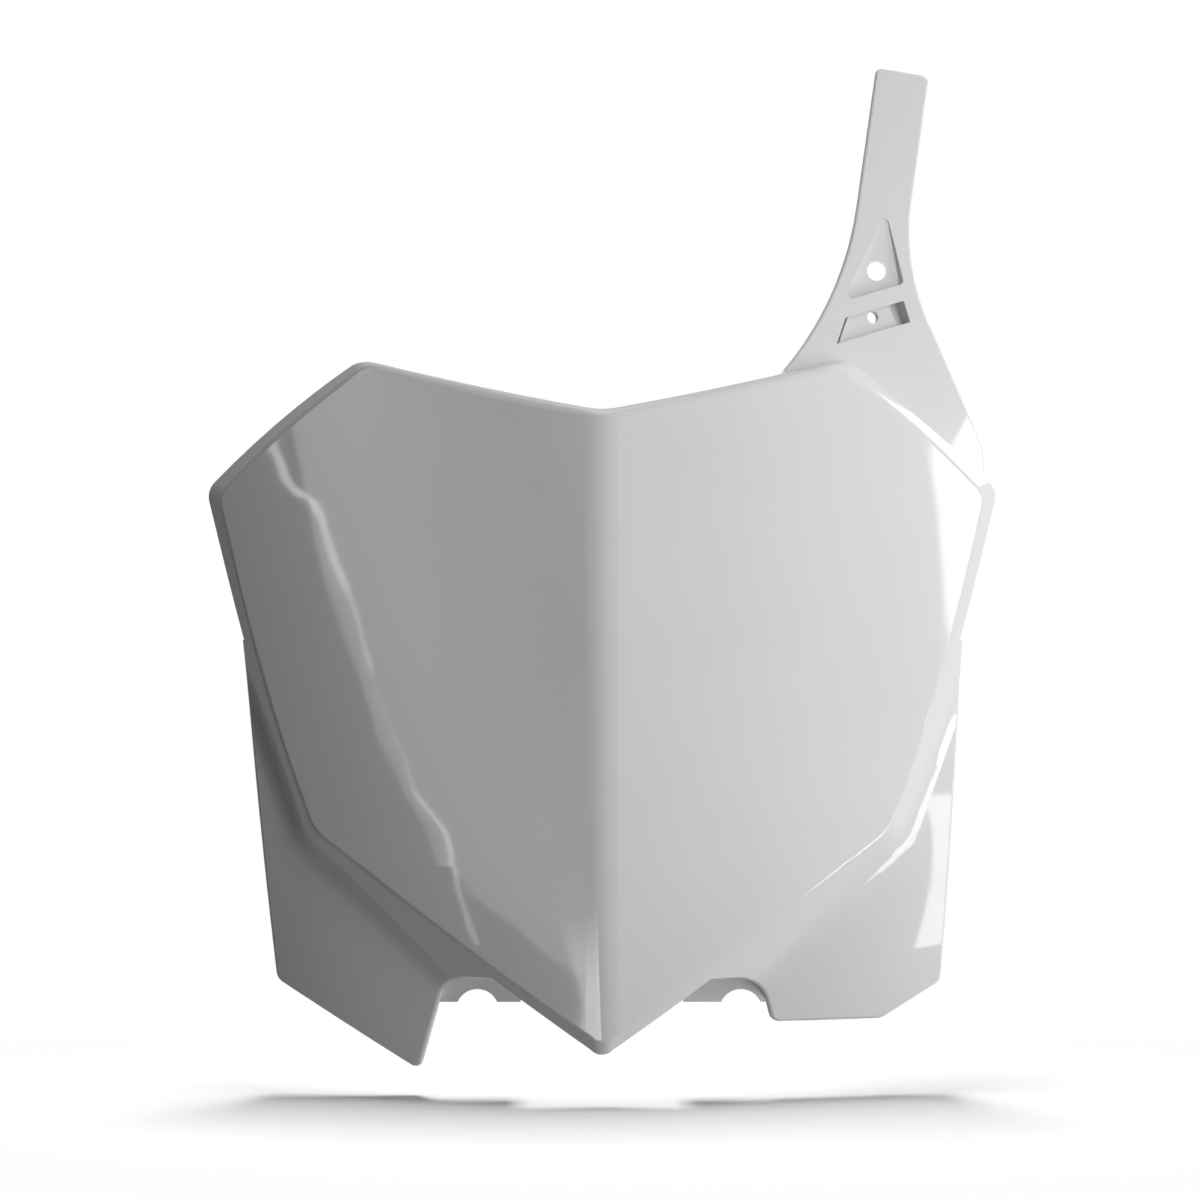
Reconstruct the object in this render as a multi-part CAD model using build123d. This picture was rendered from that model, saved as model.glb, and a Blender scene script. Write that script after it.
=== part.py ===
from build123d import *
import os
from math import asin, cos, degrees, radians, sin, sqrt, tan

# A one-piece moulded racing number board. Sizes are in millimetres and angles in degrees.
# X runs to the right as seen from the front, Y from front to back and Z up. Depths are measured back from
# the ridge and heights up from the tops of the two saddles, and X is zero on the ridge.

# Moulded wall and roundings
wall = 2.6
edge_radius = 3.5
crease_radius = 22.0
wing_edge_radius = 1.6

# Front face: a rounded upright ridge with two swept-back halves, bowed from top to bottom
ridge_radius = 20.0
ridge_sweep = 17.0
half_radius = 450.0
bow_radius = 560.0
bow_height = 158.0
chin_radius = 260.0
chin_height = 43.0

# Shield outline, the right half, as seen from the front
notch_height = 211.5
crown_x = 84.5
crown_height = 230.0
corner_x = 141.5
corner_height = 182.3
bend_x = 105.5
bend_height = 59.0
tip_height = -19.2
notch_radius = 40.0
crown_radius = 8.0
corner_radius = 14.0
bend_radius = 25.0
tip_radius = 6.0

# Outward slope of the walls behind each edge of the shield, outward bulge of each edge, and the lip's depth
top_slope = 0.15
shoulder_slope = 0.58
side_slope = 0.52
lower_slope = 0.56
tip_slope = 0.62
shoulder_bulge = 2.4
side_bulge = 2.8
lower_bulge = 0.8
lip_depth = 3.4

# Lower wings, set back from the shield: both are cut from one shallow dome
dome_radius = 240.0
dome_depth = 33.6
dome_height = 105.0
wing_top = 129.0
wing_inner_x = 97.0
arch_height = 5.3
left_wing_top_x = 132.6
left_wing_foot_x = 121.2
left_wing_foot_height = 2.5
left_wing_foot_radius = 5.0
left_wing_tip_x = 67.5
left_wing_tip_height = -31.5
left_wing_tip_radius = 3.0
left_arch_x = 57.0
left_arch_radius = 10.0
right_wing_top_x = 133.1
right_wing_foot_x = 126.5
right_wing_foot_height = 1.5
right_wing_foot_radius = 4.0
right_wing_toe_x = 104.0
right_wing_toe_radius = 6.0
right_wing_tip_x = 62.5
right_wing_tip_height = -12.2
right_wing_tip_radius = 4.0
right_arch_x = 58.0
right_arch_radius = 12.0

# Saddles behind the two arches, which rest on the fork clamp
saddle_wall = 3.0
saddle_radius = 8.0
saddle_depth = 69.5
saddle_reach = 4.7
saddle_inner_x = 30.0
saddle_outer_x = 61.5
left_saddle_x = 46.0
right_saddle_x = 51.3

# Strap at the upper right, set back from the shield's shoulder: a rolled sheet with a flared root.
# Its outline is drawn as seen from the front, from the band hole.
strap_wall = 3.2
strap_width = 20.0
strap_offset = 0.8
strap_length = 75.0
strap_tilt = 8.5
strap_set_back = 5.8
strap_sweep = 22.0
strap_lean = 8.0
strap_roll = 65.0
strap_roll_radius = 250.0
strap_edge_radius = 1.0
strap_end_radius = 2.5
left_flare_start = 22.0
left_flare_radius = 122.0
left_flare_angle = 41.0
right_flare_start = 28.0
right_flare_radius = 82.0
right_flare_angle = 31.0
root_knee_in = 3.5
root_knee_rise = 18.0
root_knee_radius = 12.0
root_side_out = 1.0
root_overlap = 8.0

# Recesses in the strap's root, along a slanted bar
bar_tilt = 24.5
bar_width = 6.0
bar_drop = 7.4
ramp_left = 17.0
ramp_right = 9.2
ramp_peak_x = 11.0
ramp_peak = 20.4
ramp_depth = 3.5
ramp_radius = 1.8
tray_height = 8.2
tray_depth = 2.2
tray_top_left = 18.0
tray_top_right = 7.0
tray_foot_left = 24.7
tray_foot_right = 7.1
pocket_depth = 7.0
pocket_right_width = 5.2
pocket_left_width = 2.0

# Band hole along the way the mould opens, with a boss behind it, and tie hole square through the tray's floor
band_hole_x = 100.9
band_hole_height = 264.6
band_hole_radius = 3.6
band_boss_radius = 6.4
band_boss_depth = 8.5
tie_hole_along = -6.2
tie_hole_drop = 15.9
tie_hole_radius = 2.3

# Extent of the construction blocks, how near counts as touching, and where along an edge that is tested
block_front = -2.0
block_back = 110.0
block_half_width = 185.0
touch = 0.02
probes = (0.1, 0.5, 0.9)

chin_angle = degrees(asin((bow_height - chin_height) / bow_radius))
chin_axis_depth = bow_radius - (bow_radius - chin_radius) * cos(radians(chin_angle))
chin_axis_height = bow_height - (bow_radius - chin_radius) * sin(radians(chin_angle))
ridge_end_x = ridge_radius * sin(radians(ridge_sweep))
half_centre_x = ridge_end_x - half_radius * sin(radians(ridge_sweep))
half_centre_depth = ridge_radius + (half_radius - ridge_radius) * cos(radians(ridge_sweep))


# Depth of the front face in plan, at the bow's height
def plan_depth(x):
    if abs(x) < ridge_end_x:
        return ridge_radius - sqrt(ridge_radius**2 - x**2)
    return half_centre_depth - sqrt(half_radius**2 - (abs(x) - half_centre_x) ** 2)


# Depth of the front face anywhere on it
def front_depth(x, z):
    reach = bow_radius - plan_depth(x)
    if z - bow_height > -reach * sin(radians(chin_angle)):
        return bow_radius - sqrt(reach**2 - (z - bow_height) ** 2)
    reach = chin_radius - plan_depth(x)
    return chin_axis_depth - sqrt(reach**2 - (z - chin_axis_height) ** 2)


# Plan section of everything behind the front face
def plan_section(inset):
    ridge = ridge_radius - inset
    half = half_radius - inset

    def on_half(x):
        return Vector(x, half_centre_depth - sqrt(half**2 - (abs(x) - half_centre_x) ** 2), bow_height)

    def mirrored(point):
        return Vector(-point.X, point.Y, point.Z)

    ridge_end = Vector(ridge * sin(radians(ridge_sweep)), 0, bow_height)
    ridge_end.Y = ridge_radius - ridge * cos(radians(ridge_sweep))
    side = on_half(block_half_width)
    middle = on_half(block_half_width / 2)
    back = Vector(block_half_width, side.Y + block_back, bow_height)
    outline = [
        ThreePointArc(mirrored(side), mirrored(middle), mirrored(ridge_end)),
        ThreePointArc(mirrored(ridge_end), (0, inset, bow_height), ridge_end),
        ThreePointArc(ridge_end, middle, side),
        Line(side, back),
        Line(back, mirrored(back)),
        Line(mirrored(back), mirrored(side)),
    ]
    return Face(Wire(outline))


# Everything behind the front face: the plan section turned about the bow's axis, then tucked in at the chin
def front_body(inset):
    top_angle = 14.0
    chin_sweep = 70.0
    section = plan_section(inset)
    bow_axis = Axis((0, bow_radius, bow_height), (1, 0, 0))
    chin_axis = Axis((0, chin_axis_depth, chin_axis_height), (1, 0, 0))
    upper = revolve(section.rotate(bow_axis, -top_angle), bow_axis, revolution_arc=top_angle + chin_angle)
    chin = revolve(section.rotate(bow_axis, chin_angle), chin_axis, revolution_arc=chin_sweep)
    return upper + chin


# Shield corners clockwise from the notch: place and rounding. The edges between them: the wall's slope at
# the start and at the end, and the bulge.
right_corners = [
    (0.0, notch_height, notch_radius),
    (crown_x, crown_height, crown_radius),
    (corner_x, corner_height, corner_radius),
    (bend_x, bend_height, bend_radius),
    (0.0, tip_height, tip_radius),
]
shield_corners = right_corners + [(-x, z, radius) for x, z, radius in right_corners[3:0:-1]]
right_edges = [
    (top_slope, top_slope, 0.0),
    (shoulder_slope, shoulder_slope, shoulder_bulge),
    (side_slope, side_slope, side_bulge),
    (lower_slope, tip_slope, lower_bulge),
]
shield_edges = right_edges + [(end, start, bulge) for start, end, bulge in right_edges[::-1]]


# Outward direction of a shield edge, as seen from the front
def edge_normal(index):
    x, z, _ = shield_corners[index]
    next_x, next_z, _ = shield_corners[(index + 1) % len(shield_corners)]
    along = Vector(next_x - x, next_z - z).normalized()
    return Vector(-along.Y, along.X)


# How far out a wall stands at a given distance behind the front face
def wall_offset(slope, behind, inset):
    return slope * behind - inset * sqrt(1 + slope**2)


# Corner of the shield block at a given depth, where its two sloping walls meet
def corner_at(index, depth, inset):
    x, z, _ = shield_corners[index]
    behind = depth - front_depth(x, z)
    one, two = edge_normal(index - 1), edge_normal(index)
    out_one = wall_offset(shield_edges[index - 1][1], behind, inset)
    out_two = wall_offset(shield_edges[index][0], behind, inset)
    cross = one.X * two.Y - one.Y * two.X
    shift_x = (out_one * two.Y - out_two * one.Y) / cross
    shift_z = (one.X * out_two - two.X * out_one) / cross
    return Vector(x + shift_x, depth, z + shift_z)


# Edge of the shield block's section at a given depth: straight, or an arc where it bulges
def edge_at(index, depth, inset, start, end):
    start_slope, end_slope, bulge = shield_edges[index]
    if bulge == 0:
        return Line(start, end)
    normal = edge_normal(index)
    x, z, _ = shield_corners[index]
    next_x, next_z, _ = shield_corners[(index + 1) % len(shield_corners)]
    middle = Vector((x + next_x) / 2, (z + next_z) / 2) + normal * bulge
    slope = (start_slope + end_slope) / 2
    out = wall_offset(slope, depth - front_depth(middle.X, middle.Y), inset)
    chord = (start + end) / 2
    rise = normal.dot(middle - Vector(chord.X, chord.Z)) + out
    return ThreePointArc(start, chord + Vector(normal.X, 0, normal.Y) * rise, end)


# Section of the shield block at a given depth, with its corners rounded
def shield_section(depth, inset):
    count = len(shield_corners)
    points = [corner_at(index, depth, inset) for index in range(count)]
    edges = [edge_at(i, depth, inset, points[i], points[(i + 1) % count]) for i in range(count)]
    section = Face(Wire(edges))
    for index, point in enumerate(points):
        outward = inset if index == 0 else -inset
        vertex = section.vertices().sort_by_distance(point)[0]
        section = section.fillet_2d(shield_corners[index][2] + outward, [vertex])
    return section


# The shield as a block: its sloping walls cut off by the front face
def shield_block(inset):
    walls = loft([shield_section(block_front, inset), shield_section(block_back, inset)], ruled=True)
    return walls & front_body(inset)


# Edges where the front face meets the walls
def shield_rim(block):
    def off_face(point):
        return abs(point.Y - front_depth(point.X, point.Z))

    def on_face(edge):
        return max(off_face(edge @ place) for place in probes) < touch

    walls = [face for face in block.faces() if off_face(face.position_at(0.5, 0.5)) > 2 * touch]
    return ShapeList(edge for face in walls for edge in face.edges() if on_face(edge))


# Front-view outline drawn as a face at a depth, with each corner rounded by its own radius
def outline_face(corners, depth):
    face = Face(Wire(Polyline([(x, depth, z) for x, z, _ in corners], close=True)))
    for x, z, radius in corners:
        if radius > 0:
            vertex = face.vertices().sort_by_distance((x, depth, z))[0]
            face = face.fillet_2d(radius, [vertex])
    return face


left_wing_outline = [
    (-left_wing_top_x, wing_top, 0.0),
    (-left_wing_foot_x, left_wing_foot_height, left_wing_foot_radius),
    (-left_wing_tip_x, left_wing_tip_height, left_wing_tip_radius),
    (-left_arch_x, arch_height, left_arch_radius),
    (-saddle_inner_x, arch_height, 0.0),
    (-wing_inner_x, wing_top, 0.0),
]
right_wing_outline = [
    (right_wing_top_x, wing_top, 0.0),
    (right_wing_foot_x, right_wing_foot_height, right_wing_foot_radius),
    (right_wing_toe_x, right_wing_tip_height, right_wing_toe_radius),
    (right_wing_tip_x, right_wing_tip_height, right_wing_tip_radius),
    (right_arch_x, arch_height, right_arch_radius),
    (saddle_inner_x, arch_height, 0.0),
    (wing_inner_x, wing_top, 0.0),
]


# Straight block behind a wing's outline, along the way the mould opens
def wing_prism(outline):
    return extrude(outline_face(outline, block_front), amount=block_back - block_front, dir=(0, 1, 0))


# The dome that the wings' faces are cut from
dome_centre = Vector(0, dome_depth + dome_radius, dome_height)


def dome(inset):
    return Pos(*dome_centre) * Sphere(dome_radius - inset)


# Edges of a body that lie on the dome
def dome_edges(body):
    def off_dome(point):
        return abs((point - dome_centre).length - dome_radius)

    return body.edges().filter_by(lambda edge: max(off_dome(edge @ place) for place in probes) < touch)


# Outer form of the shell: the shield and the dome behind it, with rounded edges and a soft crease between
def outer_form():
    shield = shield_block(0.0)
    shield = Part(shield.fillet(edge_radius, shield_rim(shield)).wrapped)
    foot = left_wing_tip_height - 2 * crease_radius
    wing_space = Box(2 * block_half_width, block_back - block_front, wing_top - foot)
    wing_space = Pos(0, (block_front + block_back) / 2, (wing_top + foot) / 2) * wing_space
    form = shield + (wing_space & dome(0.0))
    creases = dome_edges(form).filter_by(lambda edge: shield.distance_to(Vertex(*(edge @ 0.5))) < touch)
    return Part(form.fillet(crease_radius, creases).wrapped)


# Everything a given distance inside the shell's outer form
def inner_form(inset):
    return shield_block(inset) + dome(inset)


# A wing cut from the shell, with the front edge of its outline rounded
def rounded_wing(shell, inner, outline):
    wing = shell & wing_prism(outline)
    walls = outline_face(outline, 0.0).outer_wire()
    hidden = Wire(Polyline([(x, 0, z) for x, z, _ in (*outline[-2:], outline[0])]))

    def is_front(edge):
        points = [edge @ place for place in probes]
        seen = [Vertex(point.X, 0, point.Z) for point in points]
        on_wall = max(walls.distance_to(place) for place in seen) < touch
        on_hidden = max(hidden.distance_to(place) for place in seen) < touch
        inside = min(inner.distance_to(Vertex(*point)) for point in points) < wall / 2
        return on_wall and not on_hidden and not inside

    return Part(wing.fillet(wing_edge_radius, wing.edges().filter_by(is_front)).wrapped)


# Upright plane of the strap's outline: its origin is the band hole, and its Y axis runs up the strap
def strap_view():
    tilt = radians(strap_tilt)
    return Plane((band_hole_x, 0, band_hole_height), x_dir=(cos(tilt), 0, -sin(tilt)), z_dir=(0, -1, 0))


# Plane that touches the strap's front face at the band hole
def strap_plane():
    rise = tan(radians(strap_sweep)) * (band_hole_x - crown_x)
    rise += tan(radians(strap_lean)) * (band_hole_height - crown_height)
    depth = front_depth(crown_x, crown_height) + strap_set_back + rise
    facing = Vector(tan(radians(strap_sweep)), -1, tan(radians(strap_lean))).normalized()
    across = Vector(1, tan(radians(strap_sweep)), 0).normalized()
    up = facing.cross(across)
    tilted = across * cos(radians(strap_tilt)) - up * sin(radians(strap_tilt))
    return Plane((band_hole_x, depth, band_hole_height), x_dir=tilted, z_dir=facing)


# Outline of the strap and its flared root seen from the front, and its part hidden behind the shoulder
def strap_outline():
    view = strap_view()
    left = -strap_width / 2 - strap_offset
    right = strap_width / 2 - strap_offset
    crown = view.to_local_coords(Vector(crown_x, 0, crown_height))
    corner = view.to_local_coords(Vector(corner_x, 0, corner_height))
    shoulder = (corner - crown).normalized()
    inward = Vector(shoulder.Y, -shoulder.X) * root_overlap
    left_flare = JernArc((left, left_flare_start), (0, -1), left_flare_radius, -left_flare_angle)
    right_flare = JernArc((right, right_flare_start), (0, -1), right_flare_radius, right_flare_angle)
    knee = corner + Vector(-root_knee_in, root_knee_rise)
    side = corner + Vector(root_side_out, 0)
    open_edges = [
        Line(side, knee),
        Line(knee, right_flare @ 1),
        right_flare,
        Line((right, right_flare_start), (right, strap_length)),
        Line((right, strap_length), (left, strap_length)),
        Line((left, strap_length), (left, left_flare_start)),
        left_flare,
    ]
    hidden_edges = [
        Line(left_flare @ 1, crown + inward),
        Line(crown + inward, corner + inward),
        Line(corner + inward, side),
    ]
    outline = Face(Wire(open_edges + hidden_edges))
    outline = outline.fillet_2d(root_knee_radius, [outline.vertices().sort_by_distance(knee)[0]])
    ends = outline.vertices().sort_by(Axis.Y)[-2:]
    outline = outline.fillet_2d(strap_end_radius, ends)
    return view.location * outline, view.location * Wire(hidden_edges)


# Round bar that the strap's sheet is rolled on, a given distance under the sheet's front face
def strap_roller(plane, inset):
    roller = Cylinder(strap_roll_radius - inset, 2 * strap_roll_radius, rotation=(0, 90, 0))
    return plane.location * Rot(0, 0, strap_roll) * Pos(0, 0, -strap_roll_radius) * roller


# Straight block along the way the mould opens, inside the strap's outline
def strap_prism(outline):
    return extrude(outline, amount=block_back - block_front, dir=(0, 1, 0))


# The strap and its root as a rolled sheet with rounded front edges
def strap_sheet(plane, outline, hidden):
    back_roller = strap_roller(plane, strap_wall)
    sheet = (strap_roller(plane, 0.0) - back_roller) & strap_prism(outline)

    def is_open_front(edge):
        middle = edge @ 0.5
        in_front = back_roller.distance_to(Vertex(*middle)) > strap_wall / 2
        is_open = hidden.distance_to(Vertex(middle.X, 0, middle.Z)) > touch
        return edge.geom_type != GeomType.LINE and in_front and is_open

    return Part(sheet.fillet(strap_edge_radius, sheet.edges().filter_by(is_open_front)).wrapped)


# Flat outline along the bar, pushed straight down from one level to another
def bar_prism(face, top, bottom):
    return Pos(0, 0, bottom) * extrude(face, amount=top - bottom, dir=(0, 0, 1))


# Sloping triangle above the bar
ramp_corners = [(-ramp_left, -bar_drop), (ramp_right, -bar_drop), (ramp_peak_x, ramp_peak)]
ramp_face = Face(Wire(Polyline(ramp_corners, close=True)))
ramp_face = ramp_face.fillet_2d(ramp_radius, ramp_face.vertices())

# Tray below the bar, with a deep pocket at each end
tray_top = -bar_drop - bar_width
tray_foot = tray_top - tray_height
tray_corners = [
    (-tray_top_left, tray_top),
    (tray_top_right, tray_top),
    (tray_foot_right, tray_foot),
    (-tray_foot_left, tray_foot),
]
tray_face = Face(Wire(Polyline(tray_corners, close=True)))
right_pocket_corners = [
    (tray_top_right - pocket_right_width, tray_top),
    (tray_top_right, tray_top),
    (tray_foot_right, tray_foot),
    (tray_foot_right - pocket_right_width, tray_foot),
]
left_pocket_corners = [
    (-tray_top_left, tray_top),
    (pocket_left_width - tray_top_left, tray_top),
    (pocket_left_width - tray_foot_left, tray_foot),
    (-tray_foot_left, tray_foot),
]
pocket_corners = (right_pocket_corners, left_pocket_corners)
pocket_faces = [Face(Wire(Polyline(points, close=True))) for points in pocket_corners]


# Everything above the triangle's sloping floor, or above a level that far below it
def above_ramp(drop):
    slope = ramp_depth / (ramp_peak + bar_drop)
    reach = 2 * ramp_peak
    side_view = [
        (0, ramp_peak + reach, slope * reach - drop),
        (0, -bar_drop - reach, -ramp_depth - slope * reach - drop),
        (0, -bar_drop - reach, reach),
        (0, ramp_peak + reach, reach),
    ]
    return extrude(Face(Wire(Polyline(side_view, close=True))), amount=reach, dir=(1, 0, 0), both=True)


# Material behind the recesses, so that none of them breaks through the sheet
def recess_backing():
    middle = -strap_wall / 2
    backing = bar_prism(offset(ramp_face, wall), middle, -pocket_depth) & above_ramp(wall)
    backing += bar_prism(offset(tray_face, wall), middle, -tray_depth - wall)
    for face in pocket_faces:
        backing += bar_prism(offset(face, wall), middle, -pocket_depth - wall)
    return backing


# The recesses
def recess_cuts():
    over = strap_wall
    cuts = bar_prism(ramp_face, over, -pocket_depth) & above_ramp(0.0)
    cuts += bar_prism(tray_face, over, -tray_depth)
    for face in pocket_faces:
        cuts += bar_prism(face, over, -pocket_depth)
    return cuts


# The strap with its recesses and its two holes
def strap(plane, outline, hidden):
    frame = plane.location * Rot(0, 0, bar_tilt)
    body = strap_sheet(plane, outline, hidden) + frame * recess_backing()
    boss = Cylinder(band_boss_radius, band_boss_depth - strap_wall, rotation=(90, 0, 0))
    body += Pos(*plane.origin) * Pos(0, (band_boss_depth + strap_wall) / 2, 0) * boss
    body -= frame * recess_cuts()
    body -= Pos(*plane.origin) * Cylinder(band_hole_radius, 2 * strap_length, rotation=(90, 0, 0))
    return body - frame * Pos(tie_hole_along, -tie_hole_drop, 0) * Cylinder(tie_hole_radius, 2 * strap_length)


# A saddle: a shelf under the arch's roof and a notched web hanging from its back
def saddle(hand, notch_x):
    width = saddle_outer_x - saddle_inner_x
    across = hand * (saddle_outer_x + saddle_inner_x) / 2
    back = saddle_depth + saddle_wall
    shelf = Pos(across, back / 2, arch_height + saddle_wall / 2) * Box(width, back, saddle_wall)
    drop = arch_height + saddle_reach
    web = Pos(across, saddle_depth + saddle_wall / 2, arch_height - drop / 2) * Box(width, saddle_wall, drop)
    notch = Cylinder(saddle_radius, 2 * back, rotation=(90, 0, 0))
    return shelf + (web - Pos(hand * notch_x, back, -saddle_radius) * notch)


# The whole board, moved so that its origin lies midway between the saddles
def number_board():
    plane = strap_plane()
    outline, hidden = strap_outline()
    inner = inner_form(wall)
    shell = outer_form() - inner
    lip = front_body(0.0) - front_body(lip_depth)
    root = strap_prism(outline) - strap_roller(plane, strap_wall)
    board = (shell & lip) + (shell & root)
    for wing_outline in (left_wing_outline, right_wing_outline):
        board += rounded_wing(shell, inner, wing_outline)
    board += strap(plane, outline, hidden) - inner
    inside = inner_form(wall / 2)
    for hand, notch_x in ((-1, left_saddle_x), (1, right_saddle_x)):
        board += saddle(hand, notch_x) & inside
    return Pos(0, -saddle_depth - saddle_wall / 2, 0) * board


board = number_board()
print("volume", round(board.volume), "mm3, solids", len(board.solids()))
os.makedirs("parts", exist_ok=True)
export_step(board, "parts/number_board.step")
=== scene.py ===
import bpy
import bmesh
from math import cos, pi, radians, sin
from mathutils import Matrix, Vector


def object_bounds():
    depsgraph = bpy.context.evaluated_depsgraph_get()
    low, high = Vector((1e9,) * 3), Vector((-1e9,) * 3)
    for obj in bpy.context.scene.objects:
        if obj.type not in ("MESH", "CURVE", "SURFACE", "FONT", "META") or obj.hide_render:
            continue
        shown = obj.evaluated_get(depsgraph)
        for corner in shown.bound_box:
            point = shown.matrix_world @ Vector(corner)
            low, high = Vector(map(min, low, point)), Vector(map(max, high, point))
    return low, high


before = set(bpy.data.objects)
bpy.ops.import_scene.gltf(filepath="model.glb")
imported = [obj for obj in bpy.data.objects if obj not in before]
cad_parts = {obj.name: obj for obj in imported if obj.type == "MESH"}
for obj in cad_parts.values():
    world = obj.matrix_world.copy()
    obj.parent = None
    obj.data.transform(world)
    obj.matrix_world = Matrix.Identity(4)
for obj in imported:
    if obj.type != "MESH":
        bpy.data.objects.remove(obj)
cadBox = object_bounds()
scene = bpy.context.scene
scene.view_settings.view_transform = "Standard"
mm = 0.001               # sizes below are written in millimetres
print("frame loaded:", ", ".join(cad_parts))


# an sRGB hex value as a linear colour
def hexToLinear(code):
    channels = [int(code[i:i + 2], 16) / 255 for i in (1, 3, 5)]
    return [c / 12.92 if c <= 0.04045 else ((c + 0.055) / 1.055) ** 2.4 for c in channels] + [1.0]


# one node with its settings and links; a name that isn't an input is a property of the node
def addNode(tree, kind, settings=None, links=None):
    node = tree.nodes.new(kind)
    for name, value in (settings or {}).items():
        if isinstance(name, int) or name in node.inputs:
            node.inputs[name].default_value = value
        else:
            setattr(node, name, value)
    for name, socket in (links or {}).items():
        tree.links.new(socket, node.inputs[name])
    return node


def newMaterial(name):
    material = bpy.data.materials.new(name)
    material.use_nodes = True
    material.node_tree.nodes.clear()
    return material, material.node_tree


# an object in the scene from a finished shape
def newObject(name, shape, material):
    mesh = bpy.data.meshes.new(name)
    shape.to_mesh(mesh)
    shape.free()
    mesh.materials.append(material)
    made = bpy.data.objects.new(name, mesh)
    scene.collection.objects.link(made)
    return made


# Injection-moulded polypropylene, pigmented white. The polished mould leaves a clear gloss, with
# a faint orange peel in the reflections and slightly duller clouds where the melt cooled at
# different rates.
polypropylene = {
    "white": "#DADAD8",
    "flowWhite": "#D2D2D0",
    "flowSize": 60,         # mm between clouds of tone
    "flowDetail": 2.0,
    "glossSize": 22,        # mm between clouds of gloss
    "glossDetail": 3.0,
    "smoothest": 0.035,
    "dullest": 0.075,
    "peelSize": 2.6,        # mm between the orange peel's dimples
    "peelDetail": 1.0,
    "peelDepth": 0.002,     # mm
    "ior": 1.49,
}


def whitePolypropylene(p):
    material, tree = newMaterial("white_polypropylene_moulded")
    place = addNode(tree, "ShaderNodeTexCoord").outputs["Object"]
    flow = addNode(tree, "ShaderNodeTexNoise",
                   {"Scale": 1 / (p["flowSize"] * mm), "Detail": p["flowDetail"]},
                   {"Vector": place})
    colour = addNode(tree, "ShaderNodeMixRGB",
                     {1: hexToLinear(p["white"]), 2: hexToLinear(p["flowWhite"])},
                     {0: flow.outputs["Fac"]})
    cloud = addNode(tree, "ShaderNodeTexNoise",
                    {"Scale": 1 / (p["glossSize"] * mm), "Detail": p["glossDetail"]},
                    {"Vector": place})
    gloss = addNode(tree, "ShaderNodeMapRange",
                    {"To Min": p["smoothest"], "To Max": p["dullest"]},
                    {"Value": cloud.outputs["Fac"]})
    peel = addNode(tree, "ShaderNodeTexNoise",
                   {"Scale": 1 / (p["peelSize"] * mm), "Detail": p["peelDetail"]},
                   {"Vector": place})
    bump = addNode(tree, "ShaderNodeBump",
                   {"Strength": 1.0, "Distance": p["peelDepth"] * mm},
                   {"Height": peel.outputs["Fac"]})
    shader = addNode(tree, "ShaderNodeBsdfPrincipled", {"IOR": p["ior"]},
                     {"Base Color": colour.outputs[0], "Roughness": gloss.outputs["Result"],
                      "Normal": bump.outputs["Normal"]})
    addNode(tree, "ShaderNodeOutputMaterial", None, {"Surface": shader.outputs["BSDF"]})
    return material


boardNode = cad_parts["number_board"]
boardNode.data.materials.clear()
boardNode.data.materials.append(whitePolypropylene(polypropylene))
print("board finished in white polypropylene")


# Camera: level with the board's middle and square to it, with a long lens
cameraSettings = {
    "distance": 2200,       # mm from the ridge
    "frameWidth": 429.6,    # mm seen across the ridge's plane
    "across": -0.7,         # mm from the ridge to the frame's middle
    "height": 143.7,        # mm from the saddles to the frame's middle
    "tilt": 90,             # degrees up from straight down
    "sensor": 36,           # mm
    "farthest": 100000,     # mm to the last thing seen
}


def addCamera(c):
    data = bpy.data.cameras.new("camera")
    data.sensor_width = c["sensor"]
    data.lens = c["sensor"] * c["distance"] / c["frameWidth"]
    data.clip_end = c["farthest"] * mm
    camera = bpy.data.objects.new("camera", data)
    camera.location = (c["across"] * mm, cadBox[0].y - c["distance"] * mm, c["height"] * mm)
    camera.rotation_euler = (radians(c["tilt"]), 0, 0)
    scene.collection.objects.link(camera)
    scene.camera = camera


addCamera(cameraSettings)
print("camera placed")


# Lamps and reflecting cards round the board. Each runs from a start to an end direction, given as
# the azimuth from the camera's side towards the right and the elevation, in degrees. Width and
# distance are in mm, and a brightness of 1 is white. All of them face the aim.
aim = Vector((0, -30, 120)) * mm


def direction(angles):
    azimuth, elevation = (radians(angle) for angle in angles)
    return Vector((sin(azimuth) * cos(elevation), -cos(azimuth) * cos(elevation), sin(elevation)))


# the place of a panel that faces the aim, with its Y axis from start to end, and its length
def panelPlace(s):
    start = direction(s["start"]) * s["distance"] * mm
    end = direction(s["end"]) * s["distance"] * mm
    along = (end - start).normalized()
    back = (start + end).normalized()
    turn = Matrix((along.cross(back), along, back)).transposed().to_4x4()
    return Matrix.Translation(aim + (start + end) / 2) @ turn, (end - start).length


# Soft boxes. Each lights the board or the floor alone. A diffused one doesn't show in the gloss.
softBoxes = {
    "frontHigh": {"start": (24, 58), "end": (32, 8), "width": 395, "distance": 1500,
                  "brightness": 5.5, "diffused": True, "lights": "board"},
    "frontLow": {"start": (34, 6), "end": (44, -50), "width": 395, "distance": 1500,
                 "brightness": 3.4, "diffused": True, "lights": "board"},
    "right": {"start": (71, -46), "end": (84, 24), "width": 300, "distance": 1500,
              "brightness": 3.6, "diffused": True, "lights": "board"},
    "farRight": {"start": (105, -19), "end": (105, 19), "width": 395, "distance": 1500,
                 "brightness": 6.0, "diffused": True, "lights": "board"},
    "overhead": {"start": (180, 75), "end": (0, 65), "width": 420, "distance": 1400,
                 "brightness": 2.8, "diffused": False, "lights": "board"},
    "back": {"start": (158, -5), "end": (150, 55), "width": 760, "distance": 1600,
             "brightness": 3.4, "diffused": True, "lights": "board"},
    "shadowMaker": {"start": (180, 60), "end": (0, 66), "width": 280, "distance": 1400,
                    "brightness": 19.0, "diffused": True, "lights": "floor"},
}
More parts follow.
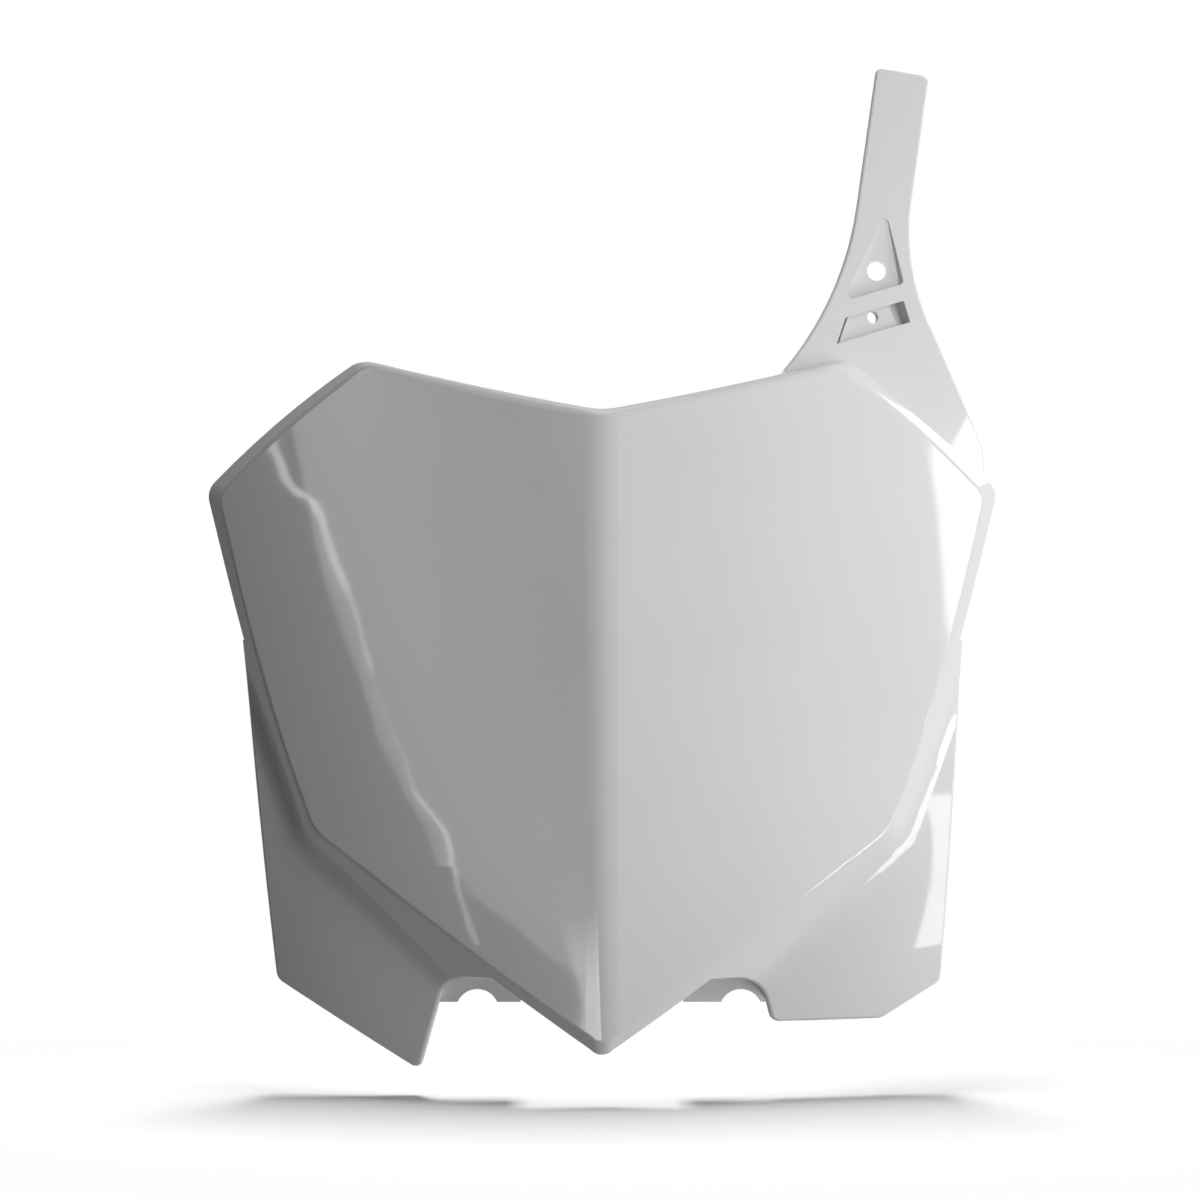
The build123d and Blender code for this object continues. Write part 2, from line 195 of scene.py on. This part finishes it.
lit = {"board": bpy.data.collections.new("litBoard"),
       "floor": bpy.data.collections.new("litFloor")}
lit["board"].objects.link(boardNode)


def addSoftBox(name, s):
    place, length = panelPlace(s)
    data = bpy.data.lights.new(name, "AREA")
    data.shape = "RECTANGLE"
    data.size = s["width"] * mm
    data.size_y = length
    data.energy = s["brightness"] * pi * data.size * data.size_y
    lamp = bpy.data.objects.new(name, data)
    lamp.matrix_world = place
    lamp.visible_camera = False
    lamp.visible_glossy = not s["diffused"]
    lamp.light_linking.receiver_collection = lit[s["lights"]]
    scene.collection.objects.link(lamp)


for name, settings in softBoxes.items():
    addSoftBox(name, settings)
print("soft boxes:", len(softBoxes))


# Cards that show only in the gloss. Fade is the share of the width over which one edge dies away:
# the right-hand edge of a card that runs upwards, the upper edge of one that runs to the left.
# StartShare is the start's brightness against the end's.
cards = {
    "leftCard": {"start": (-23.5, -45), "end": (-72.5, 40), "width": 490, "distance": 1500,
                 "brightness": 3.4, "fade": 0.7, "startShare": 0.3},
    "lowCard": {"start": (-6, -48), "end": (-46, -48), "width": 900, "distance": 1500,
                "brightness": 5.6, "fade": 0.45, "startShare": 1.0},
    "rightCard": {"start": (81.3, -13), "end": (78.3, 14), "width": 340, "distance": 1500,
                  "brightness": 7.0, "fade": 0.02, "startShare": 1.0},
    "wingCard": {"start": (87.5, -36), "end": (75.3, -14), "width": 320, "distance": 1500,
                 "brightness": 6.0, "fade": 0.02, "startShare": 1.0},
    "shoulderCard": {"start": (132, 22), "end": (132, 62), "width": 700, "distance": 1500,
                     "brightness": 3.5, "fade": 0.02, "startShare": 1.0},
}
# The long bright streak on the left half: narrow cards in a chain, just in front of the left card
streak = {
    "distance": 1490,
    "fade": 0.2,
    "startShare": 1.0,
    "chain": [              # azimuth, elevation, width and brightness, from the top down
        (-74.8, 14.6, 26, 7.0), (-70.4, 8.1, 22, 6.5), (-65.3, 5.2, 24, 5.5),
        (-62.2, -0.5, 16, 4.0), (-59.4, -7.1, 10, 1.5), (-56.6, -13.7, 10, 3.0),
        (-55.6, -16.9, 14, 6.0), (-52.3, -22.0, 15, 6.0), (-52.8, -26.0, 15, 4.5),
        (-54.3, -36.0, 15, 0.0),
    ],
}
for i, (upper, lower) in enumerate(zip(streak["chain"], streak["chain"][1:])):
    cards["streak" + str(i)] = {"start": lower[:2], "end": upper[:2], "width": upper[2],
                                "distance": streak["distance"], "brightness": upper[3],
                                "fade": streak["fade"], "startShare": streak["startShare"]}


def addCard(name, c):
    place, length = panelPlace(c)
    width = c["width"] * mm
    material, tree = newMaterial(name + "_glow")
    on = addNode(tree, "ShaderNodeSeparateXYZ", None,
                 {0: addNode(tree, "ShaderNodeTexCoord").outputs["Object"]}).outputs
    across = addNode(tree, "ShaderNodeMapRange",
                     {"From Min": width / 2 - c["fade"] * width, "From Max": width / 2,
                      "To Min": c["brightness"], "To Max": 0.0}, {"Value": on["X"]})
    along = addNode(tree, "ShaderNodeMapRange",
                    {"From Min": -length / 2, "From Max": length / 2, "To Min": c["startShare"]},
                    {"Value": on["Y"]})
    strength = addNode(tree, "ShaderNodeMath", {"operation": "MULTIPLY"},
                       {0: across.outputs["Result"], 1: along.outputs["Result"]})
    glow = addNode(tree, "ShaderNodeEmission", None, {"Strength": strength.outputs[0]})
    clear = addNode(tree, "ShaderNodeBsdfTransparent")
    both = addNode(tree, "ShaderNodeAddShader", None, {0: glow.outputs[0], 1: clear.outputs[0]})
    addNode(tree, "ShaderNodeOutputMaterial", None, {"Surface": both.outputs[0]})
    shape = bmesh.new()
    bmesh.ops.create_grid(shape, x_segments=1, y_segments=1, size=0.5)      # a unit square
    bmesh.ops.scale(shape, verts=shape.verts, vec=(width, length, 1))
    card = newObject(name, shape, material)
    card.matrix_world = place
    card.visible_camera = False
    card.visible_diffuse = False
    card.visible_transmission = False
    card.visible_shadow = False


for name, settings in cards.items():
    addCard(name, settings)
print("cards:", len(cards))


# Plain white surroundings that light the board only faintly
surroundings = {
    "background": "#FFFFFF",
    "ambient": "#FFFFFF",
    "ambientStrength": 0.01,
}


# true for rays that meet the white studio: seen directly, mirrored or through something clear
def seenRays(tree):
    path = addNode(tree, "ShaderNodeLightPath").outputs
    mirrored = addNode(tree, "ShaderNodeMath", {"operation": "MAXIMUM"},
                       {0: path["Is Glossy Ray"], 1: path["Is Transmission Ray"]})
    return addNode(tree, "ShaderNodeMath", {"operation": "MAXIMUM"},
                   {0: path["Is Camera Ray"], 1: mirrored.outputs[0]}).outputs[0]


def addWorld(s):
    world = bpy.data.worlds.new("studio")
    world.use_nodes = True
    tree = world.node_tree
    tree.nodes.clear()
    ambient = addNode(tree, "ShaderNodeBackground",
                      {"Color": hexToLinear(s["ambient"]), "Strength": s["ambientStrength"]})
    white = addNode(tree, "ShaderNodeBackground",
                    {"Color": hexToLinear(s["background"]), "Strength": 1.0})
    both = addNode(tree, "ShaderNodeMixShader", None,
                   {0: seenRays(tree), 1: ambient.outputs[0], 2: white.outputs[0]})
    addNode(tree, "ShaderNodeOutputWorld", None, {"Surface": both.outputs[0]})
    scene.world = world


addWorld(surroundings)

# Pale floor just under the board's lowest corner. Near the board it takes the shadow, and farther
# out it is white.
floorSettings = {
    "gap": 11,              # mm under the board
    "radius": 30000,        # mm
    "sides": 64,
    "colour": "#F4F4F4",
    "glow": 0.16,           # lifts the lit floor to white and leaves the shadow
    "shadowReach": 260,     # mm from the origin to where the plain white starts
    "whiteReach": 420,      # mm to where it is all there is
}


def addFloor(f):
    material, tree = newMaterial("pale_studio_floor")
    place = addNode(tree, "ShaderNodeTexCoord").outputs["Object"]
    reach = addNode(tree, "ShaderNodeVectorMath", {"operation": "LENGTH"}, {0: place})
    far = addNode(tree, "ShaderNodeMapRange",
                  {"From Min": f["shadowReach"] * mm, "From Max": f["whiteReach"] * mm},
                  {"Value": reach.outputs["Value"]})
    matt = addNode(tree, "ShaderNodeBsdfDiffuse", {"Color": hexToLinear(f["colour"])})
    glow = addNode(tree, "ShaderNodeEmission", {"Strength": f["glow"]})
    lifted = addNode(tree, "ShaderNodeAddShader", None, {0: matt.outputs[0], 1: glow.outputs[0]})
    white = addNode(tree, "ShaderNodeEmission", {"Strength": 1.0})
    both = addNode(tree, "ShaderNodeMixShader", None,
                   {0: far.outputs["Result"], 1: lifted.outputs[0], 2: white.outputs[0]})
    addNode(tree, "ShaderNodeOutputMaterial", None, {"Surface": both.outputs[0]})
    shape = bmesh.new()
    bmesh.ops.create_circle(shape, cap_ends=True, segments=f["sides"], radius=f["radius"] * mm)
    bmesh.ops.translate(shape, verts=shape.verts, vec=(0, 0, cadBox[0].z - f["gap"] * mm))
    floor = newObject("floor", shape, material)
    floor.visible_glossy = False
    floor.visible_diffuse = False
    floor.visible_shadow = False
    lit["floor"].objects.link(floor)


addFloor(floorSettings)
print("floor and surroundings added")
